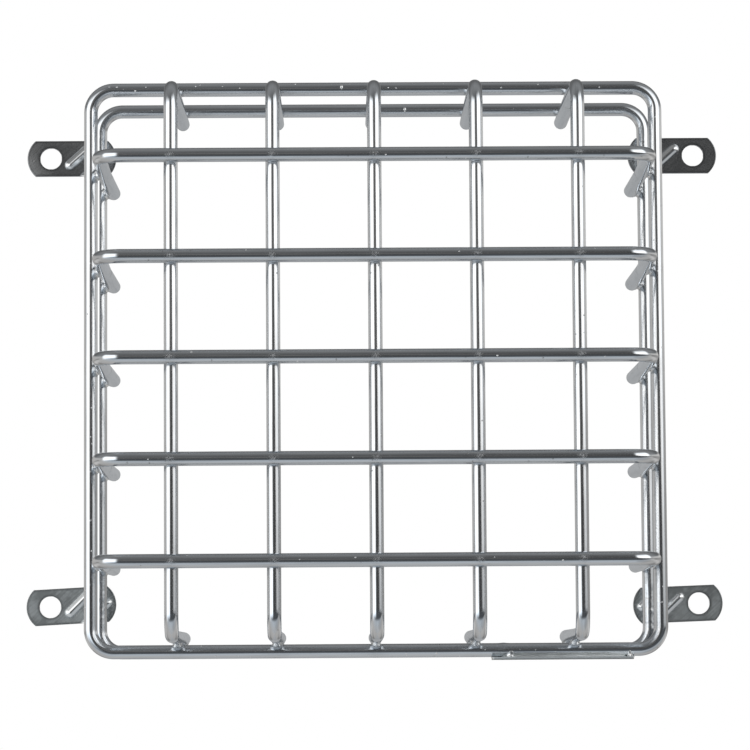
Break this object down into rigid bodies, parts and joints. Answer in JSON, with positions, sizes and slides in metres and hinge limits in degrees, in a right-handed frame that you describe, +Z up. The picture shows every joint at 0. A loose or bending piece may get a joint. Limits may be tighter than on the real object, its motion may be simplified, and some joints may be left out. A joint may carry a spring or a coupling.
{
  "type": "emergency light wire guard",
  "caption": "Square welded wire cage that guards an emergency light: crossed bent wires on square rings, held to a wall by flat drilled tabs.",
  "frame": {"origin": "centre of the four fixing holes, on the wall plane at the backs of the tabs", "axes": "+Z up, +X to the right as seen from the front, +Y into the wall, so the front of the cage faces -Y"},
  "size_m": [0.2522, 0.1016, 0.2028],
  "materials": {
    "wire": "bright plated wire",
    "tab": "bright plated strip",
    "plate": "bright plated sheet"
  },
  "bodies": {
    "root": {"cross_bar_1": "wire", "cross_bar_2": "wire", "cross_bar_3": "wire", "cross_bar_4": "wire", "cross_bar_5": "wire", "upright_bar_1": "wire", "upright_bar_2": "wire", "upright_bar_3": "wire", "upright_bar_4": "wire", "upright_bar_5": "wire", "front_ring": "wire", "back_ring": "wire", "tab_upper_left": "tab", "tab_upper_right": "tab", "tab_lower_left": "tab", "tab_lower_right": "tab", "bottom_plate": "plate"}
  },
  "joints": []
}
